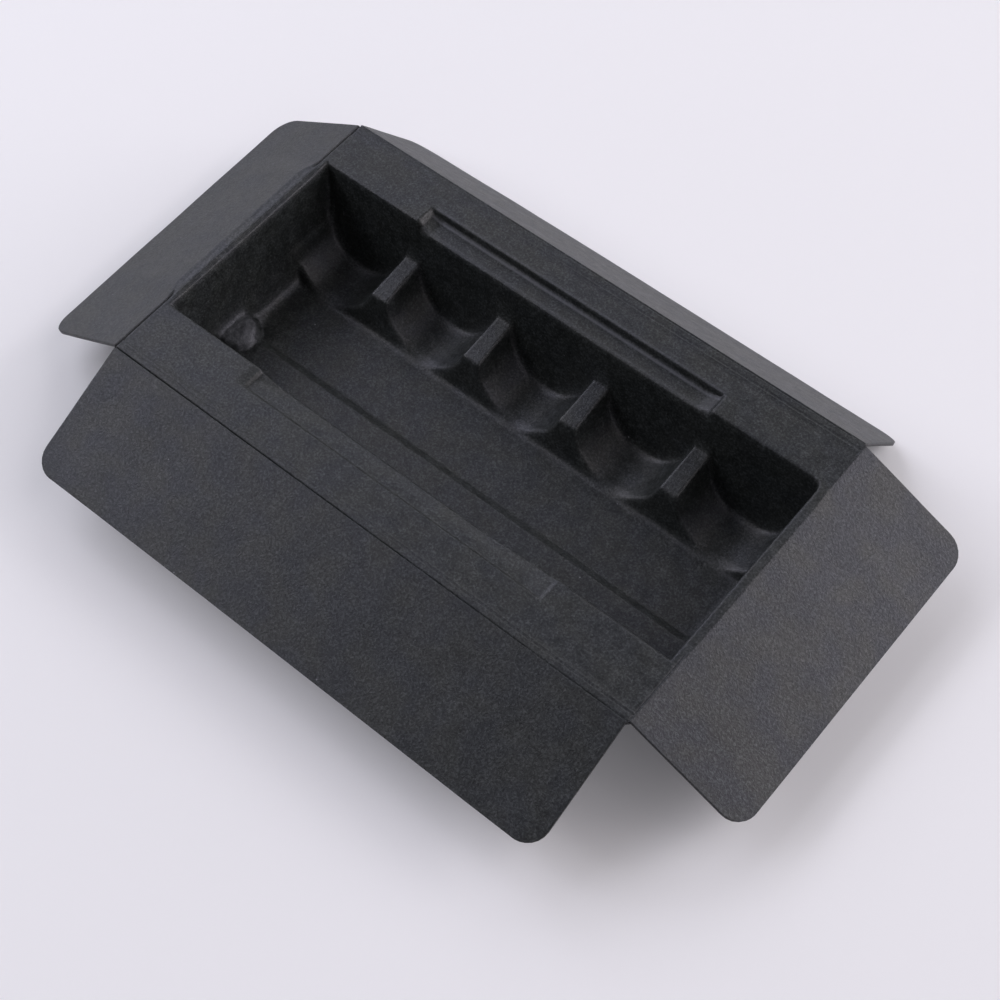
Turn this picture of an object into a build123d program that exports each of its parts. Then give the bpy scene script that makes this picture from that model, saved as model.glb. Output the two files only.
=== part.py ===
"""Moulded pulp insert that carries a row of small bottles in a shipping box.

One sheet of pressed pulp: a flat rim, a drafted tray with a row of saddles
along its back wall, and four creased flaps that fold down as legs.
Millimetres, +Z up. The origin is the middle of the rim, on the plane that
the tray's floor rests on. +X runs along the row of bottles, +Y to the back.
"""

import os
from math import cos, radians, sin, tan

from build123d import *

# Sheet
pulp = 1.0

# Row of bottles
bottle_count = 5
saddle_radius = 14.0
rib_width = 5.15
saddle_axis_depth = 13.0
saddle_lift = 0.3

# Rim
end_rim = 2.1
front_rim = 18.8
back_rim = 15.8
rim_round = 0.8

# Tray
opening_width = 61.6
end_draft = 6.5
side_draft = 13.0
side_fillet = 3.5
end_fillet = 5.0

# Bench that holds the saddles
bench_depth = 18.1
bench_draft = 18.5
bench_fillet = 2.2
rib_front_depth = 15.8
rib_slope = 9.0
rib_edge_round = 0.5

# Low step along the front of the floor
ledge_width = 17.7
ledge_height = 1.8
ledge_corner = 6.0

# Sunk strips in the long rims
recess_length = 98.0
recess_depth = 2.5
front_recess = 6.7
back_recess = 6.0

# Inside radius where the sheet turns over an edge
bend_radius = 0.4

# Flaps: how far each reaches from its crease, and its fold below level
front_flap = 37.4
right_flap = 37.2
left_flap = 37.4
back_flap = 35.4
front_fold_angle = 22.2
right_fold_angle = 27.0
left_fold_angle = 32.0
back_fold_angle = 50.6
flap_corner = 6.2
corner_relief = 0.4

# Pressed lines of the creases
crease_depth = 0.35
score_depth = 0.2
score_inset = 2.2

# Worked out from the above
pitch = 2 * saddle_radius + rib_width
last_saddle = (bottle_count - 1) / 2 * pitch
opening_length = bottle_count * pitch
rim_length = opening_length + 2 * end_rim
rim_width = front_rim + opening_width + back_rim
opening_front = front_rim - rim_width / 2
opening_back = rim_width / 2 - back_rim
cavity_depth = saddle_axis_depth + saddle_radius + saddle_lift
rim_top = cavity_depth + pulp
saddle_axis_z = rim_top - saddle_axis_depth
recess_floor_z = rim_top - recess_depth
end_lean = tan(radians(end_draft))
over = 2.0


def wall_section(plane, low, high, draft, foot_round, skin, top_z):
    """Section of the hollow between two leaning walls, grown outwards by skin."""
    bottom_z = pulp - skin
    lean = tan(radians(draft))
    outward = skin / cos(radians(draft))
    foot = outward - (rim_top - bottom_z) * lean
    head = outward + (top_z - rim_top) * lean
    with BuildSketch(plane) as section:
        with BuildLine():
            Polyline(
                (low - foot, bottom_z),
                (high + foot, bottom_z),
                (high + head, top_z),
                (low - head, top_z),
                close=True,
            )
        make_face()
        fillet(section.vertices().group_by(Axis.Y)[0], foot_round + skin)
    return section.sketch


def bench_form(skin):
    """Ribs between the saddles, drawn in by skin from the tray's inner face."""
    floor_z = pulp - skin
    nose_y = opening_back - bench_depth
    nose_z = rim_top - rib_front_depth
    lean = tan(radians(bench_draft))
    rise = tan(radians(rib_slope))
    drop = skin / cos(radians(rib_slope))
    setback = skin / cos(radians(bench_draft))
    reach = bench_depth + back_rim
    foot_y = nose_y + setback - (nose_z - floor_z) * lean
    with BuildPart() as bench:
        with BuildSketch(Plane.YZ) as profile:
            with BuildLine():
                Polyline(
                    (foot_y - bench_depth, floor_z - over),
                    (foot_y - bench_depth, floor_z),
                    (foot_y, floor_z),
                    (nose_y + setback - drop * lean, nose_z - drop),
                    (nose_y + reach, nose_z - drop + reach * rise),
                    (nose_y + reach, floor_z - over),
                    close=True,
                )
            make_face()
            nose = profile.vertices().group_by(Axis.Y)[-2]
            fillet(nose, bend_radius + pulp - skin)
            foot = profile.vertices().filter_by_position(Axis.Y, floor_z, floor_z).sort_by(Axis.X)[-1]
            fillet(foot, bench_fillet + skin)
        extrude(amount=rim_length / 2, both=True)

        # The outer saddles run on until they meet the leaning end walls.
        with BuildSketch(Plane.XZ):
            with Locations((0, saddle_axis_z)):
                with GridLocations(pitch, 0, bottle_count, 1):
                    Circle(saddle_radius + skin)
                run_on = rib_width / 2 - saddle_axis_depth * end_lean + saddle_lift
                with GridLocations(2 * last_saddle + run_on, 0, 2, 1):
                    SlotCenterToCenter(run_on, 2 * (saddle_radius + skin))
        extrude(amount=rim_width, both=True, mode=Mode.SUBTRACT)
    return bench.part


def round_ribs(bench):
    """Soften the top and front edges that the saddles leave on the ribs."""
    half = opening_length / 2
    above_foot = bench.edges().filter_by_position(Axis.Z, pulp + bench_fillet, rim_top)
    above_foot = above_foot.filter_by_position(Axis.X, -half, half)
    on_slopes = above_foot.filter_by(GeomType.ELLIPSE)
    on_noses = above_foot.filter_by(GeomType.BSPLINE)
    return bench.fillet(rib_edge_round, on_slopes + on_noses)


def ledge_form(skin):
    """Block that lifts the front of the floor, with rounded ends."""
    floor_z = pulp - skin
    edge_y = opening_front + ledge_width - skin
    floor_length = opening_length - 2 * cavity_depth * end_lean + 2 * skin
    with BuildPart() as ledge:
        with BuildSketch(Plane.XY.offset(floor_z - over)):
            with Locations((0, edge_y + ledge_corner)):
                Rectangle(rim_length, rim_width / 2, align=(Align.CENTER, Align.MAX))
            with Locations((0, edge_y)):
                RectangleRounded(
                    floor_length,
                    opening_width,
                    ledge_corner + skin,
                    align=(Align.CENTER, Align.MIN),
                    mode=Mode.SUBTRACT,
                )
        extrude(amount=over + ledge_height)
        fillet(ledge.edges().group_by(Axis.Z)[-1], bend_radius + pulp - skin)
    return ledge.part


def tray_form(skin, top_z, bench):
    """The hollow of the tray and the sunk strips, grown outwards by skin."""
    with BuildPart() as tray:
        half = opening_length / 2
        between_sides = wall_section(Plane.YZ, opening_front, opening_back, side_draft, side_fillet, skin, top_z)
        between_ends = wall_section(Plane.XZ, -half, half, end_draft, end_fillet, skin, top_z)
        extrude(between_sides, amount=rim_length, both=True)
        extrude(between_ends, amount=rim_width, both=True, mode=Mode.INTERSECT)
        add(ledge_form(skin), mode=Mode.SUBTRACT)
        add(bench, mode=Mode.SUBTRACT)
        with BuildSketch(Plane.XY.offset(recess_floor_z - skin)):
            with Locations((0, opening_front - front_recess - skin)):
                Rectangle(
                    recess_length + 2 * skin,
                    front_recess + opening_width + back_recess + 2 * skin,
                    align=(Align.CENTER, Align.MIN),
                )
        extrude(amount=top_z - recess_floor_z + skin)
    return tray.part


hollow = tray_form(0, rim_top + over, round_ribs(bench_form(0)))
shell = tray_form(pulp, rim_top - pulp / 2, bench_form(pulp))

with BuildPart() as insert:
    with BuildSketch(Plane.XY.offset(rim_top - pulp)):
        Rectangle(rim_length, rim_width)
    extrude(amount=pulp)
    add(shell)
    add(hollow, mode=Mode.SUBTRACT)

    # The sheet rolls over the mouth of the tray and over the sunk strips.
    mouth = insert.faces().sort_by(Axis.Z)[-1].inner_wires()[0].edges()
    strip_end = recess_length / 2 + pulp / 2
    inside = insert.edges().filter_by_position(Axis.Y, opening_front, opening_back)
    inside = inside.filter_by_position(Axis.X, -strip_end, strip_end)
    strips = inside.filter_by_position(Axis.Z, recess_floor_z - pulp / 10, rim_top - pulp / 10)
    fillet(mouth + strips, min(rim_round, 0.75 * end_rim))

    # Each flap hangs from its crease: outward direction, crease, length, reach and fold.
    front_crease = (Vector(0, -1, 0), rim_width / 2, rim_length)
    back_crease = (Vector(0, 1, 0), rim_width / 2, rim_length)
    right_crease = (Vector(1, 0, 0), rim_length / 2, rim_width)
    left_crease = (Vector(-1, 0, 0), rim_length / 2, rim_width)
    flaps = (
        (front_crease, front_flap, front_fold_angle),
        (right_crease, right_flap, right_fold_angle),
        (left_crease, left_flap, left_fold_angle),
        (back_crease, back_flap, back_fold_angle),
    )
    for (outward, distance, length), reach, fold_angle in flaps:
        crease = outward * distance + Vector(0, 0, rim_top)
        face_up = outward * sin(radians(fold_angle)) + Vector(0, 0, cos(radians(fold_angle)))
        along = outward.cross(Vector(0, 0, 1))
        with BuildSketch(Plane(crease, x_dir=along, z_dir=face_up)) as blank:
            Rectangle(length - 2 * corner_relief, reach, align=(Align.CENTER, Align.MIN))
            fillet(blank.vertices().group_by(Axis.Y)[-1], flap_corner)
        extrude(amount=-pulp)

    # A pressed line along every crease, and a lighter score inside the long ones.
    for (outward, distance, length), reach, fold_angle in flaps:
        lines = [(0, crease_depth)]
        if length == rim_length:
            lines.append((score_inset, score_depth))
        for inset, depth in lines:
            middle = outward * (distance - inset) + Vector(0, 0, rim_top)
            along = outward.cross(Vector(0, 0, 1))
            with BuildSketch(Plane(middle, x_dir=outward, z_dir=along)):
                Polygon((0, -depth), (depth + over, over), (-depth - over, over), align=None)
            extrude(amount=length / 2, both=True, mode=Mode.SUBTRACT)

insert.part.label = "pulp_insert"
os.makedirs("parts", exist_ok=True)
export_step(insert.part, "parts/pulp_insert.step")
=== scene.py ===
from math import cos, hypot, radians, sin, sqrt

import bmesh
import bpy
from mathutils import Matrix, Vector, noise
from mathutils.bvhtree import BVHTree


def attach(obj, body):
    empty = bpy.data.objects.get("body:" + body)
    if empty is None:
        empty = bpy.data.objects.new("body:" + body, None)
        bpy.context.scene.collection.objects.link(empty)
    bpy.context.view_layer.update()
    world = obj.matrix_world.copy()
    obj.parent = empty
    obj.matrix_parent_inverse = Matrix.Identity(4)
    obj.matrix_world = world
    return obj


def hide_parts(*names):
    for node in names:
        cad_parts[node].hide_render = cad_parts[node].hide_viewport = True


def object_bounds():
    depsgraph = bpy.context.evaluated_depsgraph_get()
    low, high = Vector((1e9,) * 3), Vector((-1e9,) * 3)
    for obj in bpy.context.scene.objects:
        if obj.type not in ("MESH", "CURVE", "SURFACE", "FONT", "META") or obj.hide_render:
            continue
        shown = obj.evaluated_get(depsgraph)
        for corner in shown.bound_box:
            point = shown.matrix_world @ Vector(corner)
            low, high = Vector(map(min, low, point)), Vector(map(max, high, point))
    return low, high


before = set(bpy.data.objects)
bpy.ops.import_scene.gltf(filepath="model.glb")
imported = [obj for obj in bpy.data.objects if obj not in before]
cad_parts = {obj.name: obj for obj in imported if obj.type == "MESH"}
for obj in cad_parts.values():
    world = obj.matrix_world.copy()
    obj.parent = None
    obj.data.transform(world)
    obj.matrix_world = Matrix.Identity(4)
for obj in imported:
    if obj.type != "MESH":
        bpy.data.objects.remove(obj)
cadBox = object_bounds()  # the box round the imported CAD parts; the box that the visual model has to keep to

mm = 0.001


def linearColour(hexColour):
    def toLinear(share):
        return share / 12.92 if share <= 0.04045 else ((share + 0.055) / 1.055) ** 2.4

    parts = [int(hexColour[i:i + 2], 16) / 255 for i in (1, 3, 5)]
    return (*[toLinear(part) for part in parts], 1)


# adds one node, sets its properties, then fills or links its inputs
def addNode(tree, kind, inputs=None, **settings):
    node = tree.nodes.new(kind)
    for name, value in settings.items():
        setattr(node, name, value)
    for name, value in (inputs or {}).items():
        if isinstance(value, bpy.types.NodeSocket):
            tree.links.new(value, node.inputs[name])
        else:
            node.inputs[name].default_value = value
    return node


def newMaterial(name):
    material = bpy.data.materials.new(name)
    material.use_nodes = True
    material.node_tree.nodes.clear()
    return material, material.node_tree


pulpFinish = {
    "deep": "#101211",  # between the fibres
    "body": "#1b1e1c",
    "worn": "#383b3a",  # raised fibres
    "toneStops": (0.34, 0.5, 0.7),  # where the noise gives deep, body and worn
    "grainInTone": 0.7,  # share of the grain in the tone, the rest being clouds
    "paintedHighlightAndPale": "#58595d",  # painted highlight for the back strip's edges, and the paler colour of the wad
    "lint": "#8d8d92",  # the few pale fibres that took no dye
    "lintSpacing": 11.0,  # mm
    "lintSize": (0.012, 0.026),  # shares of the spacing
    "lintStrength": 0.5,
    "noiseSpan": (0.3, 0.7),  # most of what the noises give
    "roughness": (0.42, 0.56),
    "gloss": (0.4, 0.64),  # strength of the sheen on dark and on pale fibres
    "warmSheen": "#fffcfd",
    "coolSheen": "#f5f4ff",
    "sheenPatch": 9.0,  # mm, patches of warmer and cooler sheen
    "sheenSpan": (0.38, 0.62),
    "cloud": 3.2,  # mm, patches where the pulp settled
    "grain": 0.6,  # mm, drawn about twice the real fibre width so that it shows
    "relief": 0.22,  # mm, height of the felted surface
    "reliefStrength": 0.42,
    "grainInRelief": 0.88,
}


# dyed moulded pulp, pressed on a mesh: a matt felt of short fibres, cloudy, with a low broad sheen
def dyedPulp():
    material, tree = newMaterial("dyedMouldedPulp")
    place = addNode(tree, "ShaderNodeTexCoord").outputs["Object"]
    clouds = addNode(tree, "ShaderNodeTexNoise", {
        "Vector": place,
        "Scale": 1 / (pulpFinish["cloud"] * mm),
        "Detail": 5.0,
        "Roughness": 0.68,
    })
    grain = addNode(tree, "ShaderNodeTexNoise", {
        "Vector": place,
        "Scale": 1 / (pulpFinish["grain"] * mm),
        "Detail": 2.0,
        "Roughness": 0.55,
        "Distortion": 0.6,
    })
    mottle = addNode(tree, "ShaderNodeMix", {
        "Factor": pulpFinish["grainInTone"],
        "A": clouds.outputs["Fac"],
        "B": grain.outputs["Fac"],
    })
    tone = addNode(tree, "ShaderNodeValToRGB", {"Fac": mottle.outputs["Result"]})
    ramp = tone.color_ramp
    deepStop, bodyStop, wornStop = pulpFinish["toneStops"]
    ramp.elements[0].position = deepStop
    ramp.elements[0].color = linearColour(pulpFinish["deep"])
    ramp.elements[1].position = wornStop
    ramp.elements[1].color = linearColour(pulpFinish["worn"])
    ramp.elements.new(bodyStop).color = linearColour(pulpFinish["body"])
    cells = addNode(tree, "ShaderNodeTexVoronoi", {
        "Vector": place,
        "Scale": 1 / (pulpFinish["lintSpacing"] * mm),
        "Randomness": 1.0,
    })
    lint = addNode(tree, "ShaderNodeMapRange", {
        "Value": cells.outputs["Distance"],
        "From Min": pulpFinish["lintSize"][0],
        "From Max": pulpFinish["lintSize"][1],
        "To Min": pulpFinish["lintStrength"],
        "To Max": 0.0,
    })
    # a colour mix takes its share at socket 0 and its colours at 6 and 7, and gives the result at 2
    # the attribute lays a painted highlight on the back strip's edges and a paler tone on the wad
    highlightAndPaleMask = addNode(tree, "ShaderNodeAttribute", attribute_name="paintedHighlightAndPale")
    highlightAndPaleTone = addNode(tree, "ShaderNodeMix", {
        0: highlightAndPaleMask.outputs["Fac"],
        6: tone.outputs["Color"],
        7: linearColour(pulpFinish["paintedHighlightAndPale"]),
    }, data_type="RGBA")
    colour = addNode(tree, "ShaderNodeMix", {
        0: lint.outputs["Result"],
        6: highlightAndPaleTone.outputs[2],
        7: linearColour(pulpFinish["lint"]),
    }, data_type="RGBA")
    low, high = pulpFinish["noiseSpan"]
    roughness = addNode(tree, "ShaderNodeMapRange", {
        "Value": clouds.outputs["Fac"],
        "From Min": low,
        "From Max": high,
        "To Min": pulpFinish["roughness"][0],
        "To Max": pulpFinish["roughness"][1],
    })
    gloss = addNode(tree, "ShaderNodeMapRange", {
        "Value": mottle.outputs["Result"],
        "From Min": low,
        "From Max": high,
        "To Min": pulpFinish["gloss"][0],
        "To Max": pulpFinish["gloss"][1],
    })
    patches = addNode(tree, "ShaderNodeTexNoise", {
        "Vector": place,
        "Scale": 1 / (pulpFinish["sheenPatch"] * mm),
        "Detail": 1.5,
    })
    patchShare = addNode(tree, "ShaderNodeMapRange", {
        "Value": patches.outputs["Fac"],
        "From Min": pulpFinish["sheenSpan"][0],
        "From Max": pulpFinish["sheenSpan"][1],
    })
    sheenTint = addNode(tree, "ShaderNodeMix", {
        0: patchShare.outputs["Result"],
        6: linearColour(pulpFinish["warmSheen"]),
        7: linearColour(pulpFinish["coolSheen"]),
    }, data_type="RGBA")
    felt = addNode(tree, "ShaderNodeMix", {
        "Factor": pulpFinish["grainInRelief"],
        "A": clouds.outputs["Fac"],
        "B": grain.outputs["Fac"],
    })
    relief = addNode(tree, "ShaderNodeBump", {
        "Strength": pulpFinish["reliefStrength"],
        "Distance": pulpFinish["relief"] * mm,
        "Height": felt.outputs["Result"],
    })
    shader = addNode(tree, "ShaderNodeBsdfPrincipled", {
        "Base Color": colour.outputs[2],
        "Roughness": roughness.outputs["Result"],
        "IOR": 1.5,
        "Specular IOR Level": gloss.outputs["Result"],
        "Specular Tint": sheenTint.outputs[2],
        "Normal": relief.outputs["Normal"],
    })
    addNode(tree, "ShaderNodeOutputMaterial", {"Surface": shader.outputs["BSDF"]})
    return material


# all in millimetres and degrees
insert = {
    "thickness": 1.0,
    "length": 169.95,  # between the end creases
    "width": 96.2,  # between the long creases
    "rimTop": 28.3,
    "pitch": 33.15,
    # where the mesh lines of half a pitch start, from the middle of a saddle, and how far apart they are
    "saddleLines": ((0, 2.2), (11, 0.7), (13, 0.4), (15, 0.55), (18.15, 0.4), (20.15, 0.7), (22.15, 2.2)),
    "endLines": ((66.3, 1.6), (71, 0.6), (76, 0.5), (82, 0.3), (84.975, 1)),
    "crossLines": (
        (-48.1, 0.22), (-47, 0.3), (-45, 1.4), (-37.2, 0.3), (-34.6, 0.9), (-31.8, 0.4), (-28.4, 1.2),
        (-22, 0.5), (-8, 1.4), (6.5, 0.5), (15.5, 1.25), (25.3, 0.45), (33.6, 0.8), (36, 0.28),
        (39.2, 1.4), (45, 0.3), (47, 0.22), (48.1, 1),
    ),
    "above": 60,  # height from which the plain shape is measured
    "inset": 0.02,  # measured this far inside the creases at least
    "mouth": (82.2, -28.6, 31.6),  # just inside it: half length, front and back
    "softenTray": 0.3,  # reach of the rounding that pressing leaves in the tray
    "softenRim": 0.12,
    "wideReach": 0.5,
    "samples": (3, 9),  # for a reach up to that and for a wider one
    # wider rounding: axis, start, full from, full to, end, reach
    "softZones": (
        (1, 23, 25.5, 29, 31, 1.4),  # ribs and saddles run up into the back wall
        (0, -81.4, -79.8, -75, -71, 2.2),  # feet of the end walls
        (0, 73, 76, 79.8, 81.4, 0.8),
        (1, -14.5, -12.6, -10.8, -9, 1.4),  # edge of the front step
    ),
    "stripRoll": 0.6,  # the front strip is rolled back this far at the mouth
    "stripRollAcross": (-34.5, -31.5, -27, -20),
    "stripRollEnds": (45, 48.5),
    "stripReach": 52.4,  # the strips end within this distance of the middle
    "strips": {
        # from and to, depth across the width, and the most that it can be along the length
        "front": (
            (-37.1, -29.5),
            ((-36.3, 0), (-35.4, 0.85), (-32.7, 1.15), (-29.5, 2.45)),
            ((-52.3, 0), (-49.72, 0.35), (-49.2, 1.15), (-41, 2.6), (25, 2.6), (48.68, 0.35), (49.2, 0)),
        ),
        "back": (
            (32.6, 39.2),
            ((32.6, 2.5), (36.6, 2.5), (37.75, 2.3), (38.35, 0.1), (38.8, 0)),
            ((-49.3, 0), (-49, 1.3), (-45, 2.6), (44, 2.6), (48.4, 1.2), (48.9, 0)),
        ),
    },
    # painted highlights along the back strip, on the mouth's edge, the foot of its back wall and the rim's
    # edge: place, half width and strength
    "paintedHighlightLines": ((32.7, 0.6, 0.2), (37.05, 0.5, 0.8), (38.8, 0.5, 0.35)),
    "paintedHighlightReach": 48.6,
    "saddleLip": (9.3, 12.6, 13.0, 21, 0.4),  # start, top, end of top, end, height
    "saddleLipSides": (8, 12.5),  # fades between these distances from a saddle's middle
    "saddleEnd": 83,
    # the end creases are filled up beside the tray
    "endFill": 84,
    "endFillAcross": (-28.5, -24, 27, 31.5),
    "mouthCorner": (80.8, 30.2, 2),  # middle and radius of the rounding at the back right
    # scores inside the long creases: distance from the crease and depth
    "scores": ((2.2, 0.18), (3.1, 0.22)),
    "scoreHalf": 0.35,
    "scoreFloor": 27.5,  # only what is higher than this is scored
    "wave": (0.05, 14),  # height and length of the sheet's unevenness
    # each unevenness has its own slice of the noise
    "slices": {"sheet": 1, "frontCrease": 2, "wrinkles": 3, "wobble": 7},
    "flapCorner": 6.2,
    "cornerTurns": (15, 30, 45, 60, 72, 82, 90),
    "flapRelief": 0.4,
    "flapRows": 8,
    "firstRow": 0.3,  # beyond the bend
    "bendShares": (0.4, 0.8, 1),  # rows within the bend
    "bendDrop": 0.12,  # fall of the bend for each millimetre
    "bendRidge": 0.1,  # the bend is hollowed by this share of its extra width
    "sharpBend": 0.3,  # width of a bend at its ends
    "bendAcross": (-29, -22, 25, 32),  # where the end creases bend widely
    "flapWave": (3, 6),  # times the sheet's unevenness, reached this far from the crease
    "onCrease": 0.01,  # edges this near to a crease belong to it
    "creaseNoise": (0.6, 0.8, 11),  # least share of the extra depth, its variation and its length
    "flaps": {
        # outward direction, reach, fold, width of the bend in the middle, extra depth of the crease
        "front": ((0, -1), 37.4, 22.2, 0.3, 0.0),
        "right": ((1, 0), 37.2, 27.0, 0.6, 0.0),
        "left": ((-1, 0), 37.4, 32.0, 2.1, 0.0),
        "back": ((0, 1), 35.4, 50.6, 0.3, 0.1),
    },
    # rise of each flap's left corner, how far that corner is drawn in, and the flap's twist
    "warps": {"front": (-1.1, 0, 0), "right": (0, 0, 0), "left": (0, 0, 0.5), "back": (0, 0.7, 0)},
    # the band beside the left crease, softened and ridged by handling
    "leftBand": {
        "end": -81,
        "across": (-28.5, -22, 25, 31.5),
        "drop": 0.28,
        "dropSlope": (-85, 1.9),  # start and length
        "dropEnd": (-82.4, -81),
        "grooves": (-84.6, -83.7),
        "grooveDepth": 0.2,
        "grooveHalf": 0.4,
        "creaseDepth": 0.5,  # in front of and behind the band
        "creaseHalf": 0.45,
    },
    # the line pressed along the front crease, deeper to the left
    "frontCrease": {
        "from": -47,
        "depth": 0.34,
        "slope": 0.0026,
        "uneven": (0.15, 9),  # depth and length
        "least": 0.05,
        "half": 0.48,
    },
    # the wad of pulp pressed into the corner
    "lump": {
        "middle": (-77.9, -14.2),
        "half": (6.1, 6.4),
        "foot": 1.6,
        "height": 4.4,
        "flatness": 5,
        "lean": 0.3,
        "wobble": (0.1, 3),  # share of the half sizes, and length
        "gap": (0.08, 0.5),  # width as a share of the half sizes, and depth
        "gapFloor": 0.93,
        "sink": 0.05,
        "wallHeight": 11,  # what is higher is wall or rim
        "wrinkles": (0.55, 1.1, 1.8),  # depth, and length along and across
        "rings": (0.16, 14),  # depth and closeness
        "ringFade": (0.3, 0.7),
        "pale": 0.22,
        "paleFade": (0.8, 1),
        "paleHeight": (7, 9),
    },
}


# eases from 0 to 1 between two places
def ease(start, end, value):
    share = max(0, min(1, (value - start) / (end - start)))
    return share * share * (3 - 2 * share)


# 1 between the middle two places, easing to 0 at the outer two
def within(place, start, fullFrom, fullTo, end):
    return ease(start, fullFrom, place) * (1 - ease(fullTo, end, place))


# 1 on a line, falling evenly to 0 at its half width
def onLine(place, middle, half):
    return max(0, 1 - abs(place - middle) / half)


# value at a place on a line through stops of (place, value)
def follow(stops, place):
    for (start, low), (end, high) in zip(stops, stops[1:]):
        if place < end:
            return low + (high - low) * max(0, place - start) / (end - start)
    return stops[-1][1]


# mesh lines from stops of (start, spacing), the last of which is the end
def spreadLines(stops):
    lines = []
    for (start, spacing), (end, ignored) in zip(stops, stops[1:]):
        count = max(1, round((end - start) / spacing))
        lines += [start + (end - start) * step / count for step in range(count)]
    return lines + [stops[-1][0]]


def meshLines():
    stops = [(turn * insert["pitch"] + start, gap) for turn in (0, 1) for start, gap in insert["saddleLines"]]
    right = spreadLines(stops + list(insert["endLines"]))
    return [-x for x in reversed(right[1:])] + right, spreadLines(insert["crossLines"])


# how far the pressing rounds the shape here, along and across the tray
def softening(x, y):
    halfLength, front, back = insert["mouth"]
    inTray = abs(x) < halfLength and front < y < back
    reach = [insert["softenTray"] if inTray else insert["softenRim"]] * 2
    for axis, start, fullFrom, fullTo, end, wide in insert["softZones"]:
        share = within((x, y)[axis], start, fullFrom, fullTo, end)
        reach[axis] += (max(wide, reach[axis]) - reach[axis]) * share
    return reach


# places of the samples over a reach
def spread(reach):
    count = insert["samples"][reach > insert["wideReach"]]
    return [reach * (2 * step + 1 - count) / count for step in range(count)]


# height of the pressed sheet at a point of the plan, as a mean over the reach of the softening
def pressedHeight(skin, x, y):
    alongReach, acrossReach = softening(x, y)
    alongStrip = 1 - ease(*insert["stripRollEnds"], abs(x))
    y += insert["stripRoll"] * within(y, *insert["stripRollAcross"]) * alongStrip
    endX = insert["length"] / 2 - insert["inset"]
    endY = insert["width"] / 2 - insert["inset"]
    down = Vector((0, 0, -1))
    heights = []
    for dx in spread(alongReach):
        for dy in spread(acrossReach):
            px = max(-endX, min(endX, x + dx))
            py = max(-endY, min(endY, y + dy))
            above = Vector((px * mm, py * mm, insert["above"] * mm))
            heights.append(skin.ray_cast(above, down)[0].z / mm)
    return sum(heights) / len(heights)


# distance from the wad's middle, 1 at its outline
def fromLump(x, y):
    middleX, middleY = insert["lump"]["middle"]
    halfX, halfY = insert["lump"]["half"]
    return hypot((x - middleX) / halfX, (y - middleY) / halfY)


# the sheet with the wad: flat and wrinkled, with a gap round it
def lumpHeight(x, y, floor):
    lump = insert["lump"]
    wobble, wobbleLength = lump["wobble"]
    gap, gapDepth = lump["gap"]
    uneven = wobble * noise.noise(Vector((x / wobbleLength, y / wobbleLength, insert["slices"]["wobble"])))
    away = max(0, fromLump(x, y) + uneven)
    if away > 1 + gap or floor > lump["wallHeight"]:
        return floor
    if away > 1:
        return max(lump["gapFloor"], floor - gapDepth * sin(radians((away - 1) / gap * 180)))
    wrinkle, along, across = lump["wrinkles"]
    ring, closeness = lump["rings"]
    wrinkles = wrinkle * abs(noise.noise(Vector((x / along, y / across, insert["slices"]["wrinkles"]))))
    rings = ring * sin(closeness * away) * ease(*lump["ringFade"], away)
    dome = lump["height"] * sqrt(1 - away ** lump["flatness"])
    top = lump["foot"] + dome - lump["lean"] * (x - lump["middle"][0])
    return max(floor - lump["sink"], top - wrinkles - rings)


# 1 where a highlight is painted along the back strip's edges, with the wad drawn paler
def highlightAndPaleShare(x, y, z):
    lump = insert["lump"]
    share = 0
    if abs(x) < insert["paintedHighlightReach"]:
        for place, half, strength in insert["paintedHighlightLines"]:
            share += strength * onLine(y, place, half)
    onLump = (1 - ease(*lump["paleFade"], fromLump(x, y))) * (1 - ease(*lump["paleHeight"], z))
    return share + lump["pale"] * onLump


def saddleLip(x, y):
    start, top, topEnd, end, height = insert["saddleLip"]
    if abs(x) >= insert["saddleEnd"] or not start < y < end:
        return 0
    fromSaddle = abs((x + insert["pitch"] / 2) % insert["pitch"] - insert["pitch"] / 2)
    rise = min(1, (y - start) / (top - start), (end - y) / (end - topEnd))
    return height * rise * (1 - ease(*insert["saddleLipSides"], fromSaddle))


def leftBandDepth(x, y):
    leftBand = insert["leftBand"]
    if x >= leftBand["end"]:
        return 0
    beside = within(y, *leftBand["across"])
    slopeStart, slopeLength = leftBand["dropSlope"]
    slope = max(0, min(1, (x - slopeStart) / slopeLength))
    band = leftBand["drop"] * slope * (1 - ease(*leftBand["dropEnd"], x))
    for groove in leftBand["grooves"]:
        band += leftBand["grooveDepth"] * onLine(x, groove, leftBand["grooveHalf"])
    crease = leftBand["creaseDepth"] * onLine(x, -insert["length"] / 2, leftBand["creaseHalf"])
    return beside * band + (1 - beside) * crease


def frontCreaseDepth(x, y):
    frontCrease = insert["frontCrease"]
    if y >= frontCrease["from"]:
        return 0
    high, wide = frontCrease["uneven"]
    uneven = high * noise.noise(Vector((x / wide, 0, insert["slices"]["frontCrease"])))
    depth = frontCrease["depth"] - frontCrease["slope"] * x + uneven
    return max(frontCrease["least"], depth) * onLine(y, -insert["width"] / 2, frontCrease["half"])


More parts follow.
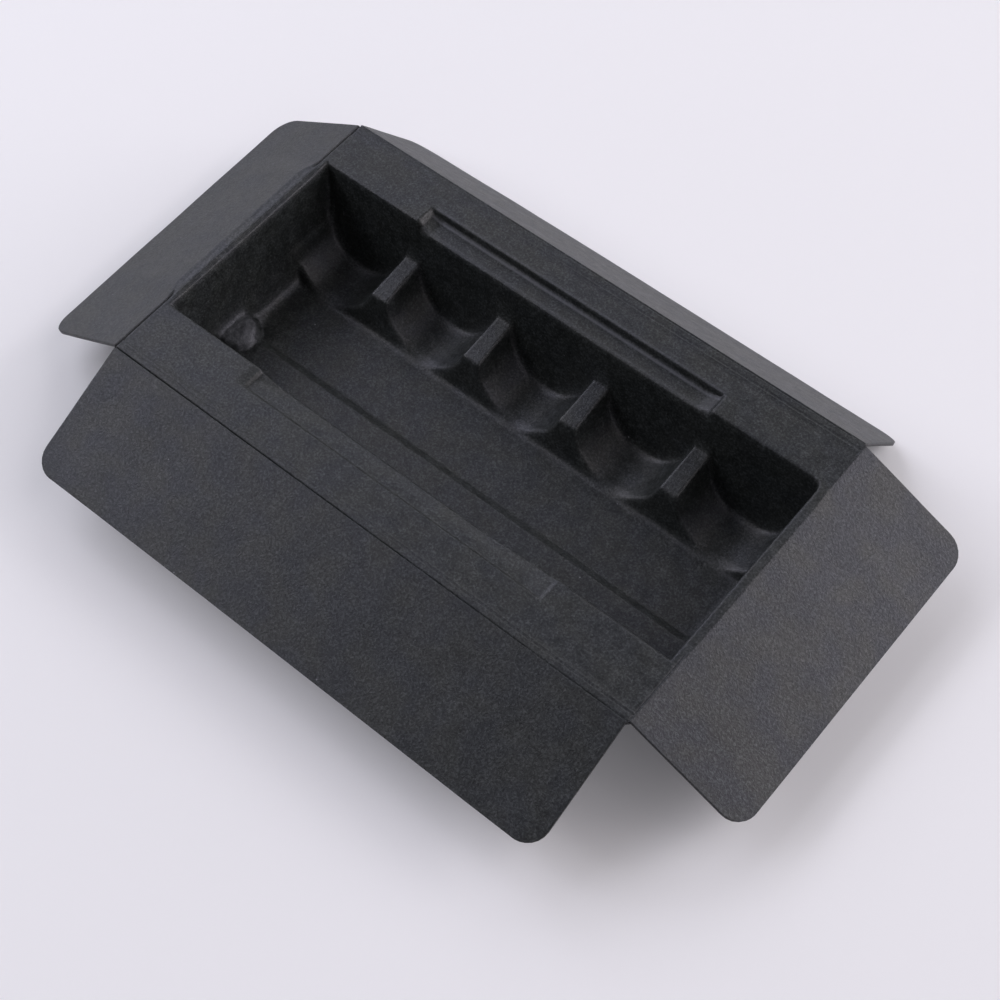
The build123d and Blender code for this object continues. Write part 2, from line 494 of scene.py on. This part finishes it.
# what the mould and the handling leave on the plain shape
def worked(x, y, z):
    z += saddleLip(x, y) - leftBandDepth(x, y)
    if abs(x) > insert["endFill"]:
        z += (insert["rimTop"] - z) * within(y, *insert["endFillAcross"])
    cornerX, cornerY, radius = insert["mouthCorner"]
    if x > cornerX and y > cornerY and hypot(x - cornerX, y - cornerY) > radius:
        z = insert["rimTop"]
    for (front, back), across, ends in insert["strips"].values():
        if front < y < back and abs(x) < insert["stripReach"]:
            z = insert["rimTop"] - min(follow(ends, x), follow(across, y))
    if z > insert["scoreFloor"]:
        for inset, depth in insert["scores"]:
            z -= depth * onLine(abs(y), insert["width"] / 2 - inset, insert["scoreHalf"])
    z -= frontCreaseDepth(x, y)
    high, wide = insert["wave"]
    z += high * noise.noise(Vector((x / wide, y / wide, insert["slices"]["sheet"])))
    return lumpHeight(x, y, z)


def pressTray(bm):
    cad = bmesh.new()
    cad.from_mesh(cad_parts["pulp_insert"].data)
    skin = BVHTree.FromBMesh(cad)
    cad.free()
    columns, rows = meshLines()
    bmesh.ops.create_grid(bm, x_segments=len(columns) - 1, y_segments=len(rows) - 1, size=0.5)
    paintedHighlightAndPale = bm.verts.layers.float["paintedHighlightAndPale"]
    for vert in bm.verts:  # the grid runs from -0.5 to 0.5, which gives each vertex its lines
        x = columns[round((vert.co.x + 0.5) * (len(columns) - 1))]
        y = rows[round((vert.co.y + 0.5) * (len(rows) - 1))]
        z = worked(x, y, pressedHeight(skin, x, y))
        vert.co = Vector((x, y, z)) * mm
        vert[paintedHighlightAndPale] = highlightAndPaleShare(x, y, z)
    print("tray:", len(columns), "x", len(rows), "lines")


# rows of a flap as shares of the bend's width and millimetres beyond it, to the corners' rounding
def flapRows(reach):
    first, count, corner = insert["firstRow"], insert["flapRows"], insert["flapCorner"]
    straight = reach - corner
    rows = [(share, 0) for share in insert["bendShares"]]
    rows.append((1, first))
    rows += [(1 - step / count, first + (straight - first) * step / count) for step in range(1, count + 1)]
    return rows + [(0, straight + corner * sin(radians(turn))) for turn in insert["cornerTurns"]]


# how a flap has warped: its rise, and how far it is drawn in towards the crease
def flapWarp(name, share, side):
    rise, drawnIn, twist = insert["warps"][name]
    toCorner = max(0, -side) ** 2 * share
    return rise * toCorner + twist * side * share, drawnIn * toCorner


def creaseEdges(bm, outward, distance):
    edges = []
    for edge in bm.edges:
        places = [vert.co.dot(outward) / mm for vert in edge.verts]
        if edge.is_boundary and all(abs(place - distance) < insert["onCrease"] for place in places):
            edges.append(edge)
    return edges


def foldFlap(bm, name):
    (ox, oy), reach, fold, middleBend, deeper = insert["flaps"][name]
    outward = Vector((ox, oy, 0))
    along = Vector((-oy, ox, 0))
    crease = outward * (insert["length"] if ox else insert["width"]) / 2
    half = (insert["width"] if ox else insert["length"]) / 2
    slope = outward * cos(radians(fold)) - Vector((0, 0, sin(radians(fold))))
    up = Vector((0, 0, cadBox[1].z))
    corner = insert["flapCorner"]
    sharp = insert["sharpBend"]
    high, wide = insert["wave"]
    waveTimes, waveFrom = insert["flapWave"]
    place = bm.verts.layers.float["along"]
    ring = creaseEdges(bm, outward, crease.length)
    creaseVerts = {vert for edge in ring for vert in edge.verts}
    for vert in creaseVerts:
        vert[place] = vert.co.dot(along) / mm
    for shareOfBend, beyond in flapRows(reach):
        made = bmesh.ops.extrude_edge_only(bm, edges=ring)["geom"]
        verts = {item for item in made if isinstance(item, bmesh.types.BMVert)}
        ring = [item for item in made if isinstance(item, bmesh.types.BMEdge) and set(item.verts) <= verts]
        intoCorner = max(0, beyond - reach + corner)
        end = half - insert["flapRelief"] - corner + sqrt(max(0, corner ** 2 - intoCorner ** 2))
        hollowed = shareOfBend == insert["bendShares"][0] and not beyond
        for vert in verts:
            side = vert[place] / half
            bend = middleBend
            if ox:
                bend = sharp + (middleBend - sharp) * within(vert[place] * along.y, *insert["bendAcross"])
            row = shareOfBend * bend + beyond
            ridge = insert["bendRidge"] * (bend - sharp) if hollowed else 0
            turned = min(row, bend)
            turn = crease + outward * turned - Vector((0, 0, insert["bendDrop"] * turned + ridge))
            point = turn + (crease + slope * reach - turn) * max(0, row - bend) / (reach - bend)
            sag, pull = flapWarp(name, row / reach, side * (along.x + along.y))
            point += along * vert[place] * end / half - outward * pull + Vector((0, 0, sag))
            point.z += waveTimes * high * noise.noise(point / wide) * ease(0, waveFrom, row)
            vert.co = point * mm + up
    least, varied, length = insert["creaseNoise"]
    for vert in creaseVerts:
        vert.co.z -= deeper * mm * (least + varied * noise.noise(vert.co / (length * mm)))
    print("flap:", name, "folded", fold, "degrees")


def makeInsert(finish):
    bm = bmesh.new()
    bm.verts.layers.float.new("along")
    bm.verts.layers.float.new("paintedHighlightAndPale")
    pressTray(bm)
    for name in insert["flaps"]:
        foldFlap(bm, name)
    mesh = bpy.data.meshes.new("pulpInsert")
    bm.to_mesh(mesh)
    bm.free()
    mesh.shade_smooth()
    mesh.materials.append(finish)
    piece = bpy.data.objects.new("pulpInsert", mesh)
    bpy.context.scene.collection.objects.link(piece)
    wall = piece.modifiers.new("sheet", "SOLIDIFY")
    wall.thickness = insert["thickness"] * mm
    wall.offset = -1
    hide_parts("pulp_insert")
    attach(piece, "root")
    print("insert:", len(mesh.polygons), "faces on the upper skin")


makeInsert(dyedPulp())

# a ring of softboxes round the table, brightest behind on the right, and little light from the front
studio = {
    "table": "#f2f0ef",
    "tableRoughness": 0.6,
    "glowShare": 0.09,  # the lit table's own light in its shadows
    "fade": (0.5, 1.5),  # metres, where the table fades into the backdrop
    "tableSize": 9.0,  # metres
    "tableDrop": 0.15,  # mm, so that the uneven underside stays above it
    "backdrop": "#e4e3ec",
    "backdropForGloss": 0.0,  # share of it that glossy rays see
    "fill": 0.01,  # its least strength, for rays that don't see it
    "distance": 2.2,  # metres, to every softbox
    "tints": {"warm": "#fcf8ff", "even": "#f8f8ff", "cool": "#eff0ff"},
    "softboxes": {
        # direction from the front through the right and height, in degrees, size in metres, watts, tint
        "frontRight": (45, 18, 1.4, 2.4, "warm"),
        "right": (90, 18, 1.4, 3.0, "warm"),
        "rightAbove": (90, 48, 1.4, 5.8, "warm"),
        "backRight": (135, 18, 1.4, 33.2, "warm"),
        "backRightAbove": (135, 48, 1.4, 8.2, "warm"),
        "backLow": (180, 18, 1.4, 3.0, "even"),
        "back": (202, 33, 0.9, 5.6, "even"),
        "backLeftLow": (225, 18, 1.4, 3.4, "cool"),
        "backLeft": (248, 33, 0.9, 8.2, "cool"),
        "left": (270, 18, 1.4, 4.4, "cool"),
        "leftAbove": (270, 48, 1.4, 11.8, "cool"),
        "frontLeft": (292, 33, 0.9, 10.0, "cool"),
        "frontLeftSmall": (312, 35, 0.35, 4.0, "even"),
        "frontLeftAbove": (315, 48, 1.4, 2.5, "even"),
    },
}


# 1 for what the camera sees, directly or in a reflection
def seenRays(tree):
    path = addNode(tree, "ShaderNodeLightPath")
    mirrored = addNode(tree, "ShaderNodeMath", {
        0: path.outputs["Is Glossy Ray"],
        1: path.outputs["Is Transmission Ray"],
    }, operation="MAXIMUM")
    seen = addNode(tree, "ShaderNodeMath", {
        0: path.outputs["Is Camera Ray"],
        1: mirrored.outputs["Value"],
    }, operation="MAXIMUM")
    return seen.outputs["Value"]


# white laminate: a plain bright ground that takes soft shadows and fades out far from the part
def whiteLaminate():
    material, tree = newMaterial("whiteLaminate")
    shader = addNode(tree, "ShaderNodeBsdfPrincipled", {
        "Base Color": linearColour(studio["table"]),
        "Roughness": studio["tableRoughness"],
    })
    glow = addNode(tree, "ShaderNodeEmission", {"Color": linearColour(studio["backdrop"])})
    place = addNode(tree, "ShaderNodeTexCoord").outputs["Object"]
    away = addNode(tree, "ShaderNodeVectorMath", {0: place}, operation="LENGTH")
    fade = addNode(tree, "ShaderNodeMapRange", {
        "Value": away.outputs["Value"],
        "From Min": studio["fade"][0],
        "From Max": studio["fade"][1],
        "To Min": studio["glowShare"],
        "To Max": 1.0,
    })
    share = addNode(tree, "ShaderNodeMath", {
        0: seenRays(tree),
        1: fade.outputs["Result"],
    }, operation="MULTIPLY")
    lit = addNode(tree, "ShaderNodeMixShader", {
        0: share.outputs["Value"],
        1: shader.outputs["BSDF"],
        2: glow.outputs["Emission"],
    })
    addNode(tree, "ShaderNodeOutputMaterial", {"Surface": lit.outputs["Shader"]})
    return material


def makeTable():
    bm = bmesh.new()
    bmesh.ops.create_grid(bm, x_segments=1, y_segments=1, size=studio["tableSize"] / 2)
    bmesh.ops.translate(bm, verts=bm.verts, vec=(0, 0, -studio["tableDrop"] * mm))
    mesh = bpy.data.meshes.new("table")
    bm.to_mesh(mesh)
    bm.free()
    mesh.materials.append(whiteLaminate())
    table = bpy.data.objects.new("table", mesh)
    bpy.context.scene.collection.objects.link(table)


# the backdrop shows behind the table in low views and lights next to nothing
def makeBackdrop():
    world = bpy.data.worlds.new("studio")
    world.use_nodes = True
    tree = world.node_tree
    tree.nodes.clear()
    path = addNode(tree, "ShaderNodeLightPath")
    seen = addNode(tree, "ShaderNodeMath", {
        0: path.outputs["Is Camera Ray"],
        1: path.outputs["Is Transmission Ray"],
    }, operation="MAXIMUM")
    shown = addNode(tree, "ShaderNodeMath", {
        0: path.outputs["Is Glossy Ray"],
        1: studio["backdropForGloss"],
        2: seen.outputs["Value"],
    }, operation="MULTIPLY_ADD")
    strength = addNode(tree, "ShaderNodeMath", {
        0: shown.outputs["Value"],
        1: studio["fill"],
    }, operation="MAXIMUM")
    backdrop = addNode(tree, "ShaderNodeBackground", {
        "Color": linearColour(studio["backdrop"]),
        "Strength": strength.outputs["Value"],
    })
    addNode(tree, "ShaderNodeOutputWorld", {"Surface": backdrop.outputs["Background"]})
    bpy.context.scene.world = world


def makeSoftboxes():
    for name, (direction, height, size, watts, tint) in studio["softboxes"].items():
        lamp = bpy.data.lights.new(name, "AREA")
        lamp.shape = "SQUARE"
        lamp.size = size
        lamp.energy = watts
        lamp.color = linearColour(studio["tints"][tint])[:3]
        holder = bpy.data.objects.new(name, lamp)
        level = cos(radians(height))
        toRight = sin(radians(direction)) * level
        toBack = -cos(radians(direction)) * level
        away = Vector((toRight, toBack, sin(radians(height))))
        holder.location = away * studio["distance"]
        holder.rotation_euler = (-away).to_track_quat("-Z", "Y").to_euler()
        holder.visible_camera = False
        bpy.context.scene.collection.objects.link(holder)
    print("stage: table, backdrop and", len(studio["softboxes"]), "softboxes")


makeTable()
makeBackdrop()
makeSoftboxes()

camera = {
    "place": (0.18796, -0.19295, 0.43073),
    "turn": (30.489, 2.223, 39.881),  # degrees
    "lens": 68.24,
    "sensor": 36,
    "nearest": 0.01,
}


def makeCamera():
    data = bpy.data.cameras.new("camera")
    data.lens = camera["lens"]
    data.sensor_width = camera["sensor"]
    data.clip_start = camera["nearest"]
    holder = bpy.data.objects.new("camera", data)
    holder.location = camera["place"]
    holder.rotation_euler = [radians(angle) for angle in camera["turn"]]
    bpy.context.scene.collection.objects.link(holder)
    bpy.context.scene.camera = holder


makeCamera()
bpy.context.scene.view_settings.view_transform = "Standard"
